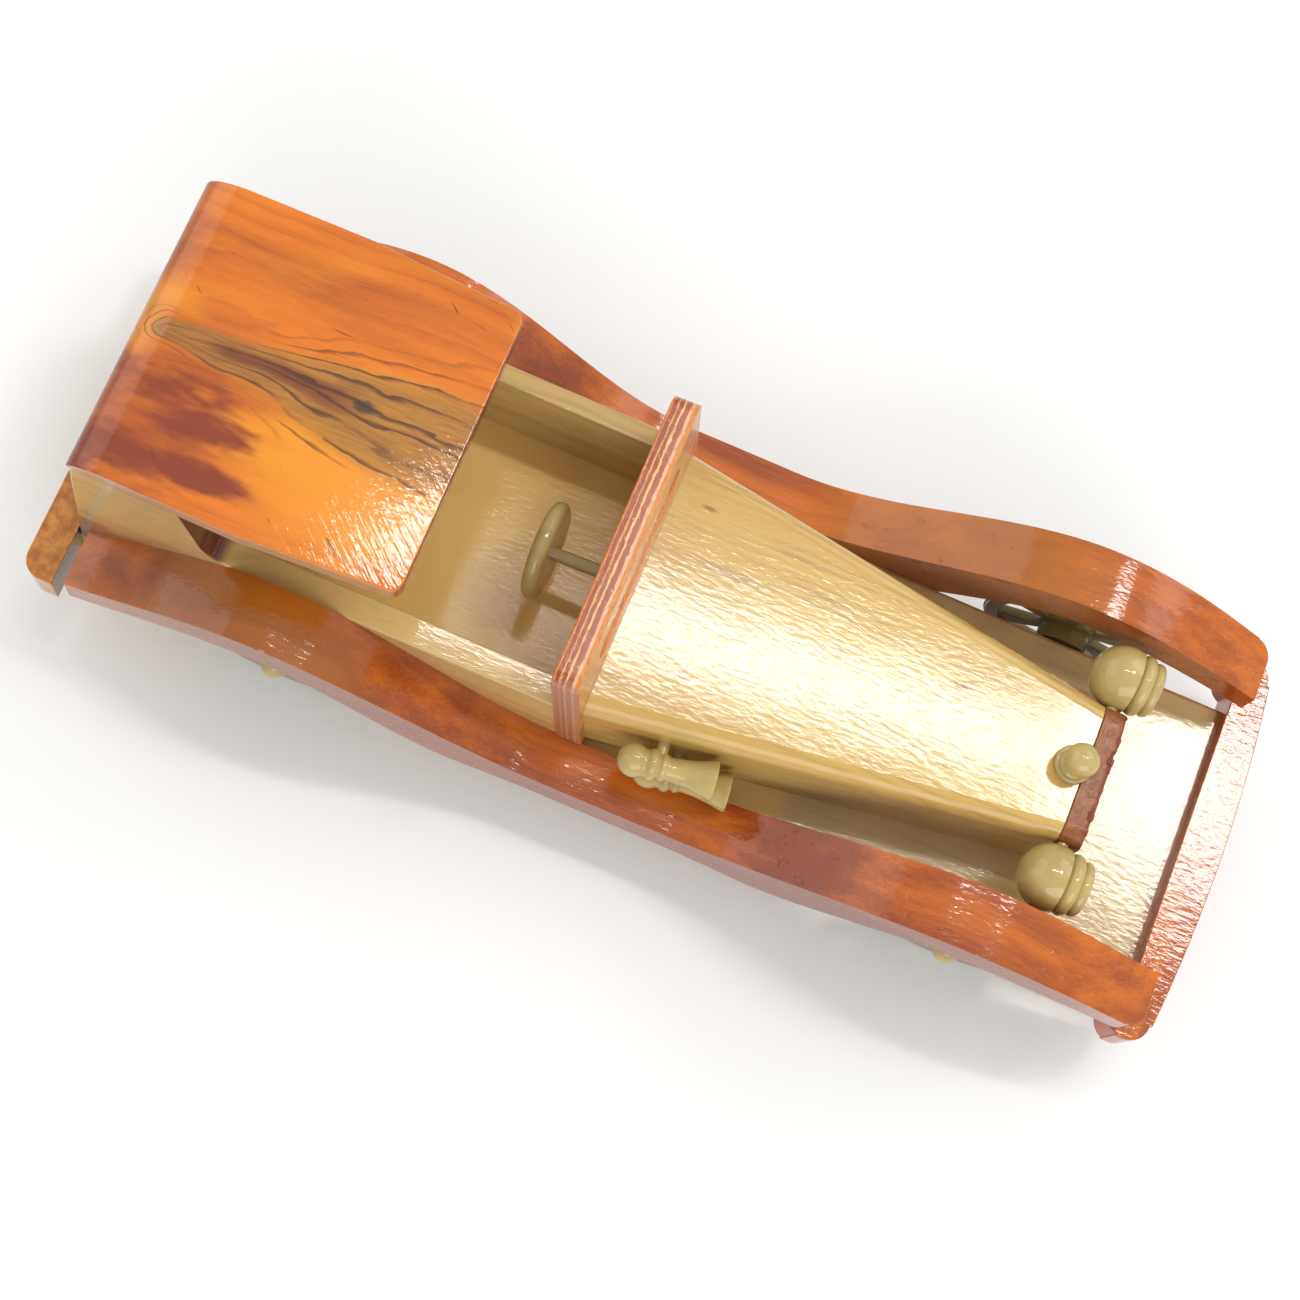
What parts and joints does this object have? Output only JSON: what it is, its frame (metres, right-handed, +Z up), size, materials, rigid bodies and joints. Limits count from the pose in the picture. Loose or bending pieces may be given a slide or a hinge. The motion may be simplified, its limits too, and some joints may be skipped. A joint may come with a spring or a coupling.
{
  "type": "wooden model car",
  "caption": "Wooden model of an open-front vintage town car with wave-shaped fenders, a raked windscreen, turned lamps and horns, and rolling spoked wheels",
  "frame": {"origin": "on the ground, under the middle of the overall length and width", "axes": "+X forward along the overall length, +Y the car's left, +Z up"},
  "size_m": [0.281, 0.0984, 0.089],
  "materials": {
    "pale_wood": "clear gloss lacquer over pale pine, fine lengthwise grain",
    "stained_wood": "orange to red-brown stain under thick clear gloss lacquer",
    "plywood": "five-ply board, stained orange, plies alternating on its edges, gloss lacquer",
    "amber_wood": "amber stain, gloss lacquer",
    "radiator_wood": "brown stain on end grain with a torn front edge, gloss lacquer",
    "khaki_bead": "turned wood, khaki enamel under gloss lacquer",
    "dowel_wood": "bare birch dowel"
  },
  "bodies": {
    "root": {"base_board": "pale_wood", "front_bumper": "stained_wood", "rear_bumper": "amber_wood", "bumper_dowels": "dowel_wood", "left_fender": "stained_wood", "right_fender": "stained_wood", "fender_dowels": "dowel_wood", "left_side_panel": "pale_wood", "right_side_panel": "pale_wood", "back_panel": "pale_wood", "roof": "stained_wood", "windscreen": "plywood", "hood": "pale_wood", "hood_dowels": "dowel_wood", "radiator": "radiator_wood", "radiator_cap": "khaki_bead", "left_headlight": "khaki_bead", "right_headlight": "khaki_bead", "headlight_pegs": "khaki_bead", "upper_horn": "khaki_bead", "lower_horn": "khaki_bead", "horn_pegs": "khaki_bead"},
    "front_wheels": {"front_axle": "dowel_wood", "front_left_wheel": "khaki_bead", "front_right_wheel": "khaki_bead", "front_left_hub_cap": "khaki_bead", "front_right_hub_cap": "khaki_bead"},
    "rear_wheels": {"rear_axle": "dowel_wood", "rear_left_wheel": "khaki_bead", "rear_right_wheel": "khaki_bead", "rear_left_hub_cap": "khaki_bead", "rear_right_hub_cap": "khaki_bead"},
    "steering": {"steering_wheel": "khaki_bead", "steering_shaft": "khaki_bead"}
  },
  "joints": [
    {"name": "front_axle_spin", "type": "hinge", "parent": "root", "child": "front_wheels", "pos_m": [0.089, 0, 0.0205], "axis": [0, 1, 0], "continuous": true},
    {"name": "rear_axle_spin", "type": "hinge", "parent": "root", "child": "rear_wheels", "pos_m": [-0.08, 0, 0.0205], "axis": [0, 1, 0], "continuous": true},
    {"name": "steering_turn", "type": "hinge", "parent": "root", "child": "steering", "pos_m": [-0.01552, 0, 0.04643], "axis": [0.9954, 0, 0.0958], "continuous": true}
  ]
}
